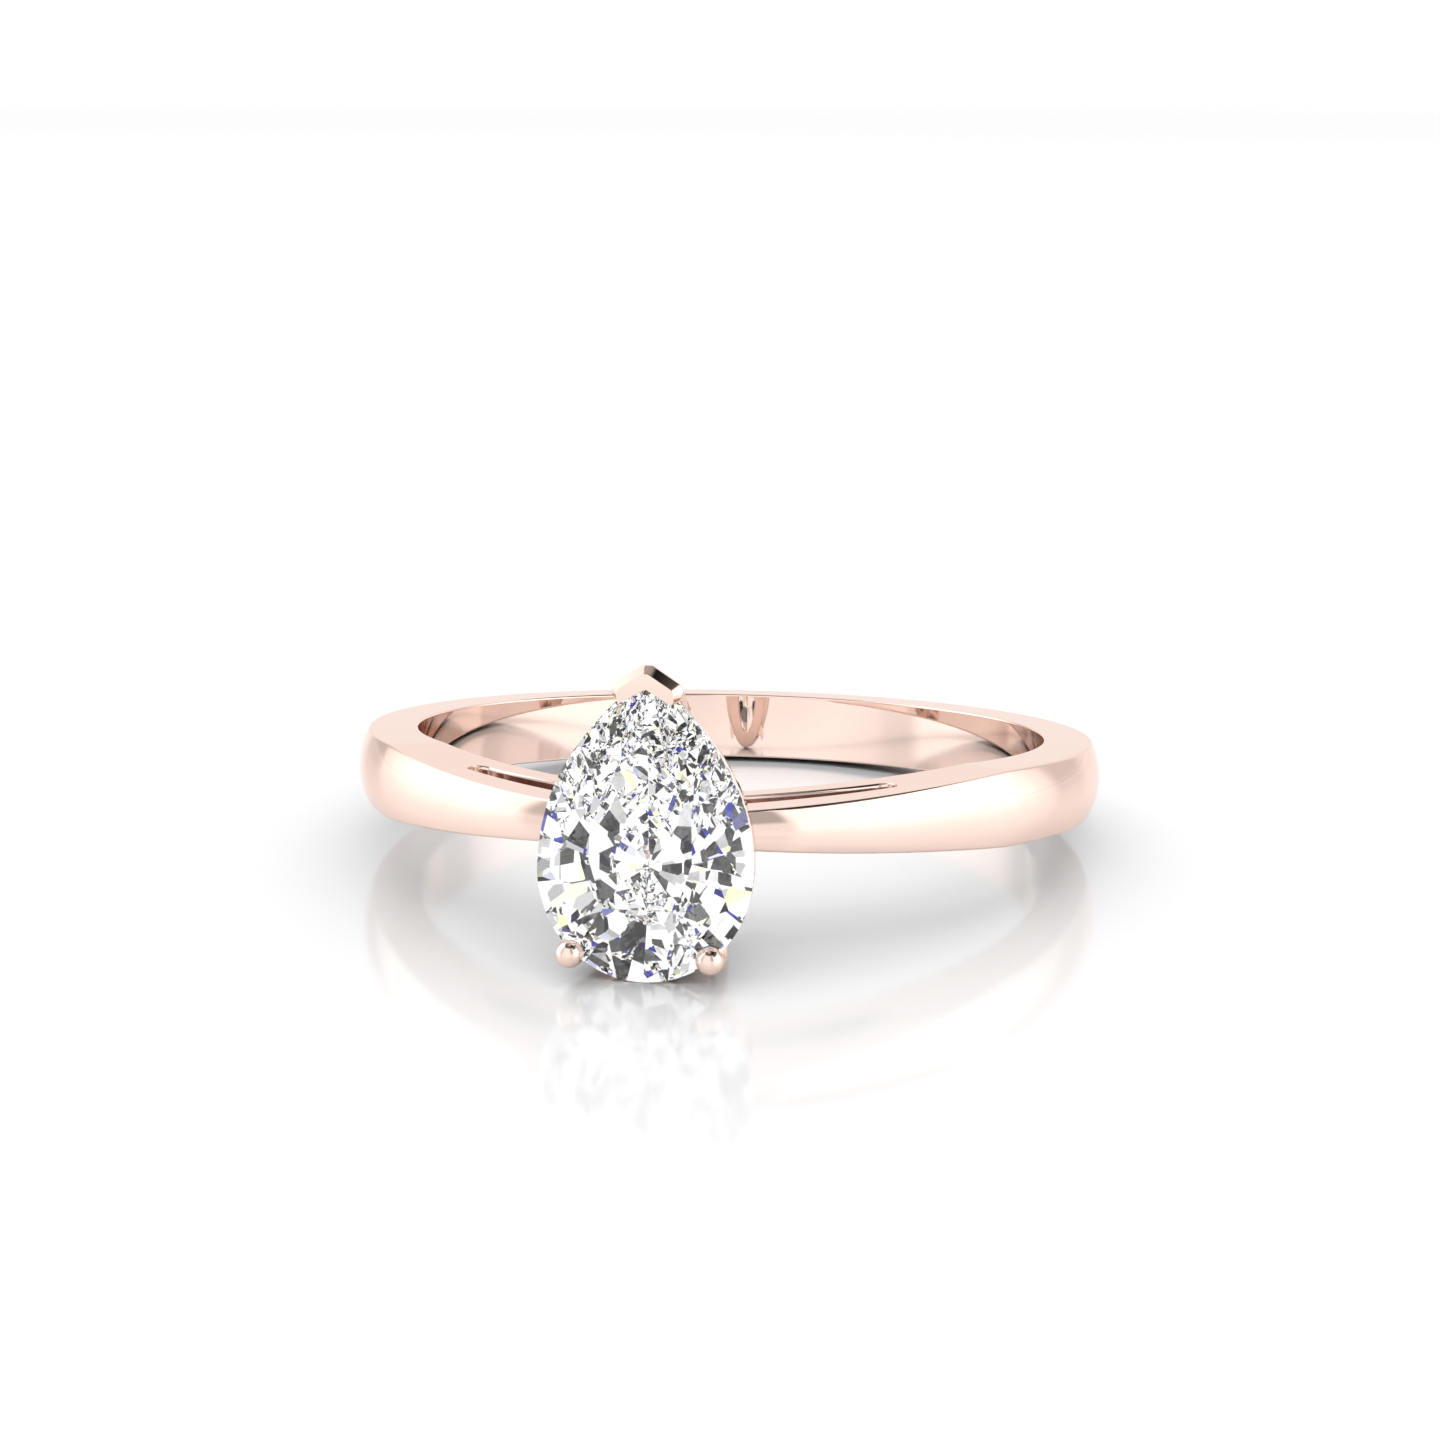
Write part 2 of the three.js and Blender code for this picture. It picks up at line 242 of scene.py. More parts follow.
def bridge_point(s, v):
    side = 1 if s >= 0 else -1
    if abs(s) <= 1:
        angle, high, soft = SLOT_TURN * abs(s), FINGER_RADIUS + BRIDGE_THICKNESS, BRIDGE_FILLET
    else:
        angle, high, _, soft = slot_walls(abs(s))
        soft *= BRIDGE_FILLET / SLOT_FILLET
    r, y = along(section(angle, FINGER_RADIUS, high, 0.0, BORE_FILLET, soft), v)
    return turned(r, side * angle, y)


SHANK_CUTS, BRIDGE_CUTS, ARM_CUTS, SLOT_END_CUTS, JOINT_CUTS = 300, 80, 40, 14, 6
slot_end_steps, joint_steps = even(1, 2, SLOT_END_CUTS), even(2, 3, JOINT_CUTS)
shank = skin("band_shank", even(SEAM, 2 * math.pi - SEAM, SHANK_CUTS), SECTION_STEPS, shank_point, RING)
arm_steps = even(0, 1, ARM_CUTS)[:-1] + slot_end_steps[:-1] + joint_steps
arm_left = skin("band_shoulder_left", arm_steps, SECTION_STEPS, arm_point(-1), RING)
arm_right = skin("band_shoulder_right", arm_steps, SECTION_STEPS, arm_point(1), RING)
half_bridge = slot_end_steps[1:-1] + joint_steps
bridge = skin(
    "band_under_bridge",
    [-s for s in reversed(half_bridge)] + even(-1, 1, BRIDGE_CUTS) + half_bridge,
    SECTION_STEPS,
    bridge_point,
    RING,
)

# ---- The pear outline ----


def pear(s, across=1.0, below=1.0, above=1.0, inset=0.0):
    """The outline at s: 0 is the round end, 1 the widest row on the right, 2 the tip and 4 the round end."""
    s %= 4
    side, s = (1, s) if s <= 2 else (-1, 4 - s)
    half = PEAR_HALF_WIDTH * across - inset
    low, high = PEAR_BELOW * below - inset, PEAR_ABOVE * above - TIP_STRETCH * inset
    if s <= 1:
        turn = s * math.pi / 2
        return side * half * math.sin(turn), WIDEST_ROW - low * math.cos(turn)
    rise = s - 1
    return side * half * (1 - rise**PEAR_POWER), WIDEST_ROW + high * rise


# ---- The stone ----

GIRDLE_TOP = GIRDLE_OUT + GIRDLE_THICKNESS / 2
GIRDLE_BOTTOM = GIRDLE_OUT - GIRDLE_THICKNESS / 2
TABLE_OUT = GIRDLE_TOP + CROWN_HEIGHT
HEART = Vector((0, WIDEST_ROW, GIRDLE_OUT))
RIM_STEPS = 96
RIM_TIP = RIM_STEPS // 2
# The table's corners on the right, from the round end to the tip, each with its stretch of the rim in steps.
# Three narrow facets run from a corner to its stretch, and a broad one fills each gap between two stretches.
TABLE_CORNERS = [
    ((0.86, -1.60), (6, 13)),
    ((1.18, -0.50), (18, 25)),
    ((1.14, 0.78), (29, 33)),
    ((0.90, 2.15), (36, 44)),
]
# The pavilion's tiers from the girdle to the culet: the outline's scale and the depth where each starts, and
# its number of facets.
PAVILION_TIERS = [(1.0, 0.0, 22), (0.68, 0.80, 14), (0.34, 1.56, 18), (0.0, PAVILION_DEPTH, 0)]
NEARBY = 0.2  # part of a step along the rim, which gives the rim's direction


def rim_point(k, z, scale=1.0):
    x, y = pear(4 * k / RIM_STEPS, scale, scale, scale)
    return Vector((x, y, z))


def plane(a, b, c):
    """The plane through three points, its normal pointing out of the stone."""
    n = (b - a).cross(c - a).normalized()
    d = n.dot(a)
    return (n, d) if n.dot(HEART) < d else (-n, -d)


def chords(apex, start, end, count, z):
    """Planes through one point and the chords of a stretch of the rim."""
    stops = even(start, end, count)
    return [plane(apex, rim_point(a, z), rim_point(b, z)) for a, b in zip(stops, stops[1:])]


def crown_planes():
    right = [(Vector((x, y, TABLE_OUT)), span) for (x, y), span in TABLE_CORNERS]
    left = [(Vector((-c.x, c.y, c.z)), (RIM_STEPS - b, RIM_STEPS - a)) for c, (a, b) in reversed(right)]
    stops = right + left
    planes = [(Vector((0, 0, 1)), TABLE_OUT)]
    first, (start, _) = stops[0]
    for (corner, (a, b)), (ahead, (c, _)) in zip(stops, stops[1:] + [(first, (start + RIM_STEPS, 0))]):
        planes += chords(corner, a, b, 3, GIRDLE_TOP)
        if b < RIM_TIP < c:
            # the two facets at the tip meet in a ridge
            planes += chords((corner + ahead) / 2, b, RIM_TIP, 1, GIRDLE_TOP)
            planes += chords((corner + ahead) / 2, RIM_TIP, c, 1, GIRDLE_TOP)
        else:
            planes.append(plane(corner, ahead, rim_point((b + c) / 2, GIRDLE_TOP)))
    return planes


def pavilion_planes():
    planes = []
    for tier, (scale, depth, count) in enumerate(PAVILION_TIERS[:-1]):
        below_scale, below_depth, _ = PAVILION_TIERS[tier + 1]
        for i in range(count):
            k = RIM_STEPS * (i + 0.5) / count
            on_rim = rim_point(k, GIRDLE_BOTTOM - depth, scale)
            beside = on_rim + rim_point(k + NEARBY, 0, scale) - rim_point(k - NEARBY, 0, scale)
            planes.append(plane(on_rim, beside, rim_point(k, GIRDLE_BOTTOM - below_depth, below_scale)))
    return planes


def girdle_planes(tuck=0.004):
    """Planes along the rim, drawn in by a hair so that the leaning stone stays clear of the floor."""
    stops = [rim_point(k, GIRDLE_OUT) for k in range(RIM_STEPS + 1)]
    upright = [plane(a, b, a + Vector((0, 0, 1))) for a, b in zip(stops, stops[1:])]
    return [(n, d - tuck) for n, d in upright]


STONE_PLANES = crown_planes() + pavilion_planes() + girdle_planes()


def face_corners(planes, reach=30.0):
    """The corners of every face of the convex solid that all the planes bound."""
    for i, (n, d) in enumerate(planes):
        a = n.orthogonal().normalized()
        b = n.cross(a)
        face = [n * d + a * reach * s + b * reach * t for s, t in ((1, 1), (-1, 1), (-1, -1), (1, -1))]
        for m, e in planes[:i] + planes[i + 1:]:
            kept = []
            for p, q in zip(face, face[1:] + face[:1]):
                hp, hq = m.dot(p) - e, m.dot(q) - e
                if hp <= 0:
                    kept.append(p)
                if hp * hq < 0:
                    kept.append(p + (q - p) * (hp / (hp - hq)))
            face = kept
            if not face:
                break
        yield from face


def stone_object(name, merge=2e-4):
    bm = bmesh.new()
    for p in face_corners(STONE_PLANES):
        bm.verts.new(p)
    bmesh.ops.remove_doubles(bm, verts=bm.verts, dist=merge)
    hull = bmesh.ops.convex_hull(bm, input=bm.verts)
    bmesh.ops.delete(bm, geom=hull["geom_interior"], context="VERTS")
    bmesh.ops.dissolve_limit(bm, angle_limit=math.radians(0.1), verts=bm.verts, edges=bm.edges)
    bmesh.ops.recalc_face_normals(bm, faces=bm.faces)
    mesh = bpy.data.meshes.new(name)
    bm.to_mesh(mesh)
    bm.free()
    return new_object(name, mesh, HEAD)


def outside_stone(p, gap=0.012):
    """p, moved out of the stone if it lies inside or closer to it than the gap."""
    nearest, along_normal = max((n.dot(p) - d, n) for n, d in STONE_PLANES)
    return p if nearest >= gap else p + along_normal * (gap - nearest)


stone = stone_object("pear_diamond")

# ---- The rails ----

RAIL_FILLET = 0.06
RAIL_STEPS = spread([3, 5, 3, 5, 3, 5, 3, 5])
SEAT_NEAR, SEAT_FAR, SEAT_WALL = 11.36, 12.28, 0.36
# how far the seat rail's walls stand inside the outline, near the finger and next to the stone
SEAT_OUTER_NEAR, SEAT_OUTER_FAR = 0.26, 0.045
SEAT_INNER_NEAR, SEAT_INNER_FAR = 0.62, 0.36
SEAT_FLANK = 0.13  # how much further out the flanks stand near the finger than the two ends do
BASE_NEAR, BASE_FAR, BASE_WALL = 9.26, 9.76, 0.6
# the outline's scales across, towards the round end and towards the tip
BASE_OUTER, BASE_INNER = (0.66, 0.84, 0.78), (0.31, 0.63, 0.6)


def rail_path(near, far, wall, f=RAIL_FILLET):
    """The rail's section as (share from the inner to the outer wall, height) with rounded corners."""
    w = f / wall
    return [
        line((1, near + f), (1, far - f)),
        fillet((1, far - f), (1, far), (1 - w, far)),
        line((1 - w, far), (w, far)),
        fillet((w, far), (0, far), (0, far - f)),
        line((0, far - f), (0, near + f)),
        fillet((0, near + f), (0, near), (w, near)),
        line((w, near), (1 - w, near)),
        fillet((1 - w, near), (1, near), (1, near + f)),
    ]


seat_path = rail_path(SEAT_NEAR, SEAT_FAR, SEAT_WALL)
base_path = rail_path(BASE_NEAR, BASE_FAR, BASE_WALL)


def mix(a, b, share):
    return a + (b - a) * share


def seat_point(s, v):
    share, height = along(seat_path, v)
    far = (height - SEAT_NEAR) / (SEAT_FAR - SEAT_NEAR)
    outer = mix(SEAT_OUTER_NEAR - SEAT_FLANK * math.sin(s * math.pi / 2) ** 2, SEAT_OUTER_FAR, far)
    inner = mix(SEAT_INNER_NEAR, SEAT_INNER_FAR, far)
    x, y = pear(s, inset=mix(inner, outer, share))
    return outside_stone(Vector((x, y, height)))


def base_point(s, v):
    share, height = along(base_path, v)
    outer = pear(s, *BASE_OUTER)
    inner = pear(s, *BASE_INNER)
    return mix(inner[0], outer[0], share), mix(inner[1], outer[1], share), height


# the tip's corner lies between two stations, so its two flanks keep their own normals
TIP_GAP, SIDE_CUTS = 0.0005, 70
outline_steps = even(0, 2 - TIP_GAP, SIDE_CUTS) + even(2 + TIP_GAP, 4, SIDE_CUTS)[:-1]
seat_rail = skin("head_seat_rail", outline_steps, RAIL_STEPS, seat_point, HEAD, ring_u=True, caps=False)
base_rail = skin("head_base_rail", outline_steps, RAIL_STEPS, base_point, HEAD, ring_u=True, caps=False)

# ---- The ball claws ----

WIRE_RADIUS, BALL_RADIUS = 0.22, 0.322
NECK_SHARPNESS = 14  # of the corner where the wire runs into the ball
AHEAD = 0.01  # share of the wire over which its direction is taken
BALL_CENTRE = Vector((1.61, -2.70, 13.235))
ROUTE = [
    Vector((1.24, -2.28, 9.32)),
    Vector((1.36, -2.43, 10.2)),
    Vector((1.52, -2.63, 11.3)),
    Vector((1.66, -2.83, 12.3)),
    Vector((1.69, -2.83, 12.85)),
    BALL_CENTRE,
]


def route_point(t):
    """A smooth line through the route's points, t from 0 to 1."""
    n = len(ROUTE) - 1
    k = min(max(int(t * n), 0), n - 1)
    f = t * n - k
    p1, p2 = ROUTE[k], ROUTE[k + 1]
    p0 = ROUTE[k - 1] if k else p1 * 2 - p2
    p3 = ROUTE[k + 2] if k + 2 <= n else p2 * 2 - p1
    return 0.5 * (
        2 * p1 + (p2 - p0) * f + (2 * p0 - 5 * p1 + 4 * p2 - p3) * f**2 + (3 * p1 - p0 - 3 * p2 + p3) * f**3
    )


def claw_point(side):
    """The wire runs smoothly into the ball: u goes along the wire to 1 and then over the ball's cap to 2."""

    def point(u, v):
        turn = v * math.pi / 2
        if u <= 1:
            centre = route_point(u)
            ahead = (route_point(min(u + AHEAD, 1.0)) - route_point(min(u, 1 - AHEAD))).normalized()
            gap = (BALL_CENTRE - centre).length
            ball = math.sqrt(max(BALL_RADIUS**2 - gap**2, 0.0))
            radius = (WIRE_RADIUS**NECK_SHARPNESS + ball**NECK_SHARPNESS) ** (1 / NECK_SHARPNESS)
        else:
            ahead = (route_point(1.0) - route_point(1 - AHEAD)).normalized()
            over = (u - 1) * math.pi / 2
            centre = BALL_CENTRE + ahead * BALL_RADIUS * math.sin(over)
            radius = BALL_RADIUS * math.cos(over)
        a = ahead.cross(Vector((0, 1, 0))).normalized()
        b = ahead.cross(a)
        p = outside_stone(centre + (a * math.cos(turn) + b * math.sin(turn)) * radius)
        return side * p.x, p.y, p.z

    return point


claw_steps = even(0, 0.8, 40)[:-1] + even(0.8, 1, 24)[:-1] + even(1, 1.998, 18)
round_steps = even(0, 4, 40)[:-1]
claw_left = skin("claw_ball_left", claw_steps, round_steps, claw_point(-1), HEAD)
claw_right = skin("claw_ball_right", claw_steps, round_steps, claw_point(1), HEAD)

# ---- The V claw ----

# Distances out from the finger: the plate's face, the back of its bevel and its back.
# Then the wall's foot, and the level from which it stands straight up beside the rim.
PLATE_FRONT, BEVEL_BACK, PLATE_BACK = 13.13, 12.84, 12.74
WALL_NEAR, WALL_UPRIGHT = 9.3, 12.58


def bevelled(name, levels, width, segments):
    """A solid lofted through flat outlines at given heights, its edges softened by a small bevel."""
    bm = bmesh.new()
    layers = [[bm.verts.new(outside_stone(Vector((x, y, z)))) for x, y in ring] for z, ring in levels]
    count = len(layers[0])
    for low, high in zip(layers, layers[1:]):
        for i in range(count):
            j = (i + 1) % count
            bm.faces.new((low[i], low[j], high[j], high[i]))
    bm.faces.new(list(reversed(layers[0])))
    bm.faces.new(layers[-1])
    bmesh.ops.recalc_face_normals(bm, faces=bm.faces)
    mesh = bpy.data.meshes.new(name)
    bm.to_mesh(mesh)
    bm.free()
    for p in mesh.polygons:
        p.use_smooth = True
    ob = new_object(name, mesh, HEAD)
    bevel = ob.modifiers.new("soft_edges", "BEVEL")
    bevel.width, bevel.segments, bevel.limit_method = width * MM, segments, "ANGLE"
    bevel.angle_limit = math.radians(28)
    bevel.harden_normals = True
    return ob


def mirrored(right):
    """A closed outline from its right half."""
    return right + [(-x, y) for x, y in reversed(right) if x]


# The right half of the plate's outlines, from the blunted tip round the arm's end to the V's inner point.
# At the back the inner edge stands outside the stone's rim and behind the bevel it lies over the rim.
# In front it is the V that is seen on the crown.
plate_edge = [(0.115, 3.895), (0.68, 3.532), (0.75, 3.48), (0.80, 3.41), (0.82, 3.33), (0.80, 3.22)]
plate_back = plate_edge + [(0.78, 3.13), (0.75, 3.09), (0.70, 3.12), (0, 3.75)]
plate_middle = plate_edge + [(0.74, 3.11), (0.67, 3.05), (0.58, 3.10), (0, 3.67)]
plate_front = [(0.062, 3.722), (0.56, 3.402), (0.605, 3.365), (0.635, 3.315), (0.648, 3.27), (0.65, 3.21)]
plate_front += [(0.645, 3.13), (0.625, 3.05), (0.59, 3.035), (0, 3.37)]
plate_levels = [
    (PLATE_BACK, mirrored(plate_back)),
    (BEVEL_BACK, mirrored(plate_middle)),
    (PLATE_FRONT, mirrored(plate_front)),
]
plate = bevelled("claw_v_plate", plate_levels, 0.035, 4)

# the V-shaped wall under the plate
wall_foot = [(0.1, 2.789), (0.42, 2.561), (0.41, 2.47), (0.38, 2.36), (0.28, 2.33), (0.14, 2.41), (0, 2.46)]
wall_top = [(0.1, 3.859), (0.77, 3.381), (0.78, 3.25), (0.76, 3.12), (0.70, 3.12), (0.35, 3.44), (0, 3.755)]
wall_levels = [
    (WALL_NEAR, mirrored(wall_foot)),
    (WALL_UPRIGHT, mirrored(wall_top)),
    (BEVEL_BACK, mirrored(wall_top)),
]
wall = bevelled("claw_v_wall", wall_levels, 0.03, 3)

# ---- Materials ----


def node_material(name):
    mat = bpy.data.materials.new(name)
    mat.use_nodes = True
    tree = mat.node_tree
    return mat, tree, tree.nodes["Principled BSDF"]


def noise(tree, scale, detail=2.0):
    coords = tree.nodes.new("ShaderNodeTexCoord")
    tex = tree.nodes.new("ShaderNodeTexNoise")
    tex.inputs["Scale"].default_value = scale
    tex.inputs["Detail"].default_value = detail
    tree.links.new(coords.outputs["Object"], tex.inputs["Vector"])
    return tex.outputs["Fac"]


def ramp(tree, source, *stops):
    node = tree.nodes.new("ShaderNodeValToRGB")
    tree.links.new(source, node.inputs["Fac"])
    for i, (place, colour) in enumerate(stops):
        stop = node.color_ramp.elements[i] if i < 2 else node.color_ramp.elements.new(place)
        stop.position, stop.color = place, (*colour, 1)
    return node.outputs["Color"]


def remap(tree, source, low, high):
    node = tree.nodes.new("ShaderNodeMapRange")
    node.inputs["From Min"].default_value, node.inputs["From Max"].default_value = 0.3, 0.7
    node.inputs["To Min"].default_value, node.inputs["To Max"].default_value = low, high
    tree.links.new(source, node.inputs["Value"])
    return node.outputs["Result"]


CLOUDS, CLOUD_SHADE, POLISH_MARKS = 900, 0.985, 2600


def rose_gold(name, tint, grazing_tint, low, high):
    """Gold that is a little uneven in colour, with a roughness between low and high."""
    mat, tree, shader = node_material(name)
    shader.inputs["Metallic"].default_value = 1.0
    shader.inputs["Specular Tint"].default_value = (*grazing_tint, 1)
    darker = tuple(c * CLOUD_SHADE for c in tint)
    tree.links.new(ramp(tree, noise(tree, CLOUDS), (0.3, tint), (0.7, darker)), shader.inputs["Base Color"])
    tree.links.new(remap(tree, noise(tree, POLISH_MARKS, 4), low, high), shader.inputs["Roughness"])
    return mat


POLISHED = ((0.955, 0.735, 0.64), (0.985, 0.90, 0.86), 0.015, 0.03)
gold_band = rose_gold("polished_rose_gold_band", *POLISHED)
gold_head = rose_gold("polished_rose_gold_head", *POLISHED)
# painted shade: the slot walls' gold is darker and browner than the polished gold, besides being rougher
shaded_slot_gold = rose_gold("unbuffed_shaded_rose_gold_slot", (0.82, 0.67, 0.61), (0.96, 0.91, 0.88), 0.1, 0.18)

diamond, tree, shader = node_material("brilliant_cut_diamond")
shader.inputs["IOR"].default_value = 2.42
shader.inputs["Transmission Weight"].default_value = 1.0
shader.inputs["Roughness"].default_value = 0.0
shader.inputs["Specular Tint"].default_value = (0.45, 0.45, 0.45, 1)
clear = ramp(tree, noise(tree, 300), (0.3, (1.0, 1.0, 1.0)), (0.7, (0.985, 0.992, 1.0)))
tree.links.new(clear, shader.inputs["Base Color"])

pieces = [
    (shank, "gold_band", gold_band, ["shank"]),
    (arm_left, "gold_band", gold_band, ["shoulder_left"]),
    (arm_right, "gold_band", gold_band, ["shoulder_right"]),
    (bridge, "gold_band", gold_band, ["under_bridge"]),
    (seat_rail, "gold_head", gold_head, ["seat_rail"]),
    (base_rail, "gold_head", gold_head, ["base_rail"]),
    (claw_left, "gold_head", gold_head, ["claw_left"]),
    (claw_right, "gold_head", gold_head, ["claw_right"]),
    (plate, "gold_head", gold_head, ["v_claw"]),
    (wall, "gold_head", gold_head, []),
    (stone, "diamond", diamond, ["stone"]),
]
for piece, slot, material, nodes in pieces:
    piece.data.materials.append(material)
    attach(piece, "root")
    if nodes:
        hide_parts(*nodes)
    # the stone's own rays see the studio alone
    piece.visible_transmission = piece is stone

# the walls inside the shoulder slots, where a buffing wheel can't reach, are rougher, and their gold is
# darker and browner as painted shade in the narrow slots
FACING = 0.94  # how squarely a slot wall faces the finger or turns its back on it, at the least
to_ring = RING.inverted()
for piece, outward in ((bridge, 1), (arm_left, -1), (arm_right, -1)):
    piece.data.materials.append(shaded_slot_gold)
    for face in piece.data.polygons:
        place = to_ring @ (face.center / MM)
        away = Vector((place.x, place.y, 0)).normalized()
        if outward * away.dot(to_ring.to_3x3() @ face.normal) > FACING:
            face.material_index = 1

# ---- The floor ----

FLOOR_REACH = 60.0
FLOOR_DROP = 2e-6  # keeps the floor just under the ring
corners = [(x * FLOOR_REACH, y * FLOOR_REACH, 0) for x, y in ((-1, -1), (1, -1), (1, 1), (-1, 1))]
floor_mesh = bpy.data.meshes.new("floor")
floor_mesh.from_pydata(corners, [], [(0, 1, 2, 3)])
floor = bpy.data.objects.new("floor", floor_mesh)
floor.location.z = -FLOOR_DROP
bpy.context.scene.collection.objects.link(floor)
# the stone's rays see the studio's pale sweep below the horizon instead of the floor
floor.visible_transmission = False
floor_mat, tree, shader = node_material("glossy_white_floor")
shader.inputs["Base Color"].default_value = (0.9, 0.9, 0.9, 1)
shader.inputs["Roughness"].default_value = 0.1
shader.inputs["IOR"].default_value = 1.65
floor.data.materials.append(floor_mat)

# ---- The studio ----

world = bpy.data.worlds.new("studio")
bpy.context.scene.world = world
world.use_nodes = True
sky = world.node_tree
background = sky.nodes["Background"]
background.inputs["Strength"].default_value = 1.0


def calc(op, *values):
    node = sky.nodes.new("ShaderNodeMath")
    node.operation = op
    for socket, value in zip(node.inputs, values):
        if isinstance(value, (int, float)):
            socket.default_value = value
        else:
            sky.links.new(value, socket)
    return node.outputs[0]


def total(*values):
    out = values[0]
    for v in values[1:]:
        out = calc("ADD", out, v)
    return out


def times(*values):
    out = values[0]
    for v in values[1:]:
        out = calc("MULTIPLY", out, v)
    return out


def ease(value, start, end, low=0.0, high=1.0):
    """low before start, high after end, with a smooth change between them."""
    node = sky.nodes.new("ShaderNodeMapRange")
    node.interpolation_type = "SMOOTHSTEP"
    sky.links.new(value, node.inputs["Value"])
    if start > end:
        start, end, low, high = end, start, high, low
    for name, v in (("From Min", start), ("From Max", end), ("To Min", low), ("To Max", high)):
        node.inputs[name].default_value = v
    return node.outputs["Result"]


def colour(red, green, blue):
    node = sky.nodes.new("ShaderNodeCombineColor")
    for value, socket in zip((red, green, blue), node.inputs):
        sky.links.new(value, socket)
    return node.outputs[0]


def choose(flag, no, yes):
    """The colour no or the colour yes, by the flag."""
    node = sky.nodes.new("ShaderNodeMix")
    node.data_type = "RGBA"
    sky.links.new(flag, node.inputs[0])
    for socket, value in ((node.inputs[6], no), (node.inputs[7], yes)):
        if isinstance(value, tuple):
            socket.default_value = value
        else:
            sky.links.new(value, socket)
    return node.outputs[2]


coordinates = sky.nodes.new("ShaderNodeTexCoord").outputs["Generated"]
direction = sky.nodes.new("ShaderNodeSeparateXYZ")
sky.links.new(coordinates, direction.inputs[0])
x, y, z = direction.outputs
path = sky.nodes.new("ShaderNodeLightPath")
TO_DEGREES = 180 / math.pi
# the azimuth is 0 in front of the stone and grows towards +X
azimuth = times(calc("ARCTAN2", x, times(y, -1)), TO_DEGREES)
elevation = times(calc("ARCSINE", z), TO_DEGREES)


def window(a0, a1, b0, b1):
    """1 between azimuths a1 and b0, softening to 0 at a0 and b1."""
    return times(ease(azimuth, a0, a1), ease(azimuth, b0, b1, 1.0, 0.0))


# what reflections see: a pale sweep all round, brighter soft boxes, and dark gaps and bars between them
sweep = total(ease(elevation, -66, -18, 0.70, 1.0), ease(elevation, -88, -62, -0.5, 0.0))
above_sweep = ease(elevation, -42, 2)
box_right = times(window(43, 51, 108, 134), above_sweep, ease(azimuth, 50, 88, 0.46, 0.66))
box_left = times(window(-136, -112, -72, -62), above_sweep, ease(azimuth, -70, -88, 0.42, 0.66))
card_front = times(window(-56, -26, 4, 26), 0.15)
card_left = times(window(-148, -140, -120, -112), ease(elevation, 16, 26), 0.22)
bar_right = times(window(14, 28, 42, 47), ease(elevation, 11, 21), -0.48)
bar_left = times(window(-72, -64, -57, -47), ease(elevation, -4, 14), -0.36)
gap_right = times(window(126, 133, 143, 154), ease(elevation, -8, 4), -0.26)
gap_depth = times(ease(elevation, -14, -4), ease(elevation, 12, 24, -0.36, 0.0))
gap_left = times(window(-150, -142, -135, -126), gap_depth)
lamps = total(sweep, box_right, box_left, card_front, card_left, bar_right, bar_left, gap_right, gap_left)
# the dark ceiling, lower behind the ring on the right, with a dim skylight behind the ring and overhead
ceiling = ease(elevation, 54, 66, 1.0, 0.12)
right_back = total(ease(azimuth, 46, 62), ease(azimuth, -172, -162, 1.0, 0.0))
corner = total(1.0, times(right_back, ease(elevation, 38, 46), -0.92))
behind = total(ease(azimuth, 150, 160), ease(azimuth, -160, -150, 1.0, 0.0))
skylight = total(times(behind, ease(elevation, 60, 66), 0.4), ease(elevation, 76, 82, 0.0, 0.3))
studio = total(times(lamps, ceiling, corner), skylight)
# light that has bounced many times between gold walls comes out dimmer, and brown rather than red
fading = [ease(path.outputs["Ray Depth"], 2.5, 6.5, 1.0, share) for share in (0.24, 0.6, 0.9)]
gold_light = colour(*(times(studio, fade) for fade in fading))

# what the stone's rays see: bright panels with dark gaps, with the blue bent away a little as in a prism
PANEL_SCALE = 5.0
BLUE_BEND = Vector((0.016, 0.01, 0.018))
BLUE_SHARE = 0.36


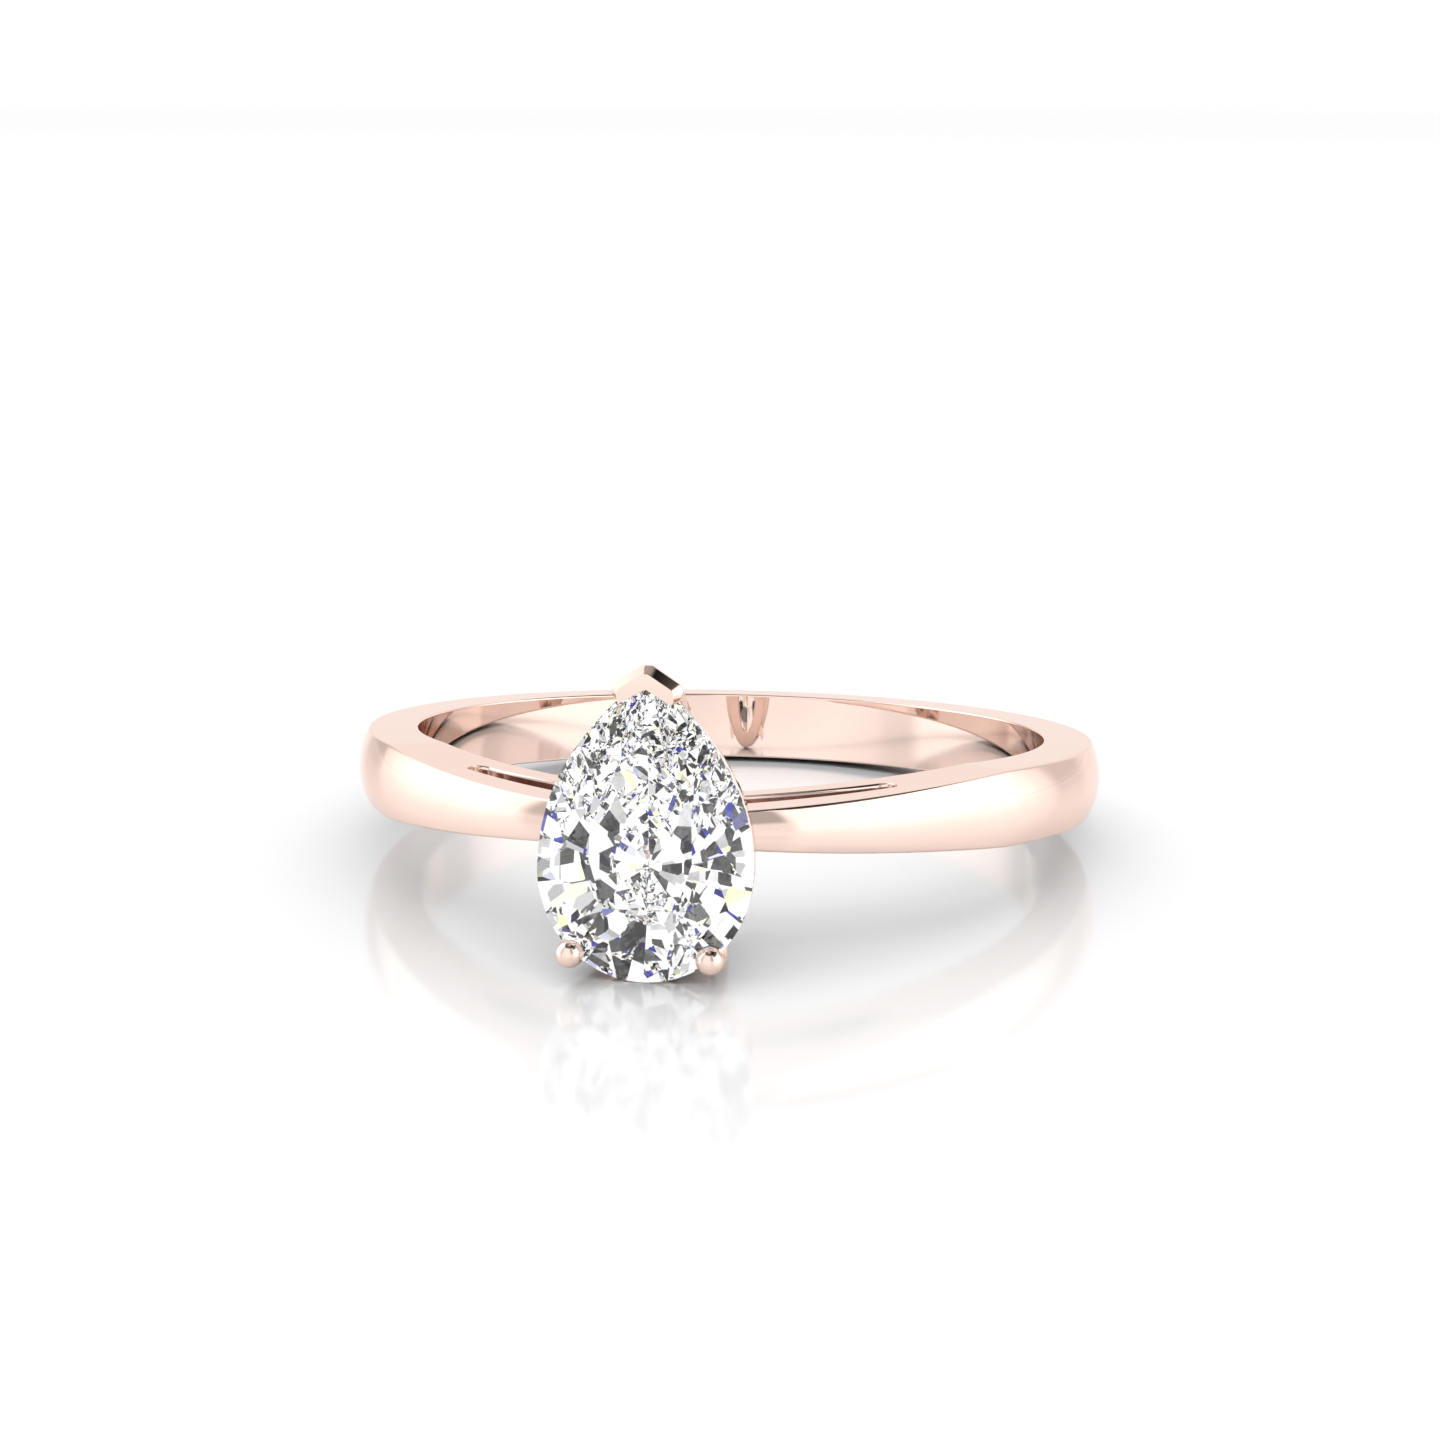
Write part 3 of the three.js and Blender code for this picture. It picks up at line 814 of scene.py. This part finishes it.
def panels(bend):
    moved = sky.nodes.new("ShaderNodeVectorMath")
    moved.operation = "ADD"
    moved.inputs[1].default_value = bend
    sky.links.new(coordinates, moved.inputs[0])
    cells = sky.nodes.new("ShaderNodeTexVoronoi")
    cells.inputs["Scale"].default_value = PANEL_SCALE
    sky.links.new(moved.outputs[0], cells.inputs["Vector"])
    parts = sky.nodes.new("ShaderNodeSeparateColor")
    sky.links.new(cells.outputs["Color"], parts.inputs[0])
    pick = parts.outputs[0]
    return total(ease(pick, 0.28, 0.32, 0.01, 0.62), ease(pick, 0.42, 0.46, 0.0, 0.55))


straight = panels(Vector((0, 0, 0)))
blue = total(times(panels(BLUE_BEND), BLUE_SHARE), times(straight, 1 - BLUE_SHARE))
stone_light = colour(straight, straight, blue)

# what matt surfaces see: a soft light from overhead
overhead = ease(elevation, 15, 70, 0.75, 1.5)
matt_light = colour(overhead, overhead, overhead)

BACKDROP = (1.05, 1.05, 1.05, 1.0)
seen = choose(path.outputs["Is Transmission Ray"], gold_light, stone_light)
seen = choose(path.outputs["Is Diffuse Ray"], seen, matt_light)
seen = choose(path.outputs["Is Camera Ray"], seen, BACKDROP)
sky.links.new(seen, background.inputs["Color"])

# ---- Camera ----

CAMERA_PLACE = Vector((10.8095, -68.8038, 19.5951)) * MM
CAMERA_AIM = Vector((-0.3199, 2.1308, 3.1420)) * MM
CAMERA_ROLL = math.radians(0.264)
camera = bpy.data.cameras.new("camera")
camera.sensor_width, camera.lens = 36.0, 67.5
camera.clip_start, camera.clip_end = 0.001, 100.0
view = bpy.data.objects.new("camera", camera)
bpy.context.scene.collection.objects.link(view)
view.rotation_mode = "QUATERNION"
view.location = CAMERA_PLACE
aim = (CAMERA_AIM - CAMERA_PLACE).to_track_quat("-Z", "Y")
view.rotation_quaternion = aim @ Matrix.Rotation(CAMERA_ROLL, 4, "Z").to_quaternion()
scene = bpy.context.scene
scene.camera = view
scene.view_settings.view_transform = "Standard"
# light crosses a facetted stone many times before it leaves
scene.cycles.max_bounces = 28
scene.cycles.glossy_bounces = 24
scene.cycles.transmission_bounces = 24
scene.cycles.caustics_refractive = False
scene.cycles.caustics_reflective = False
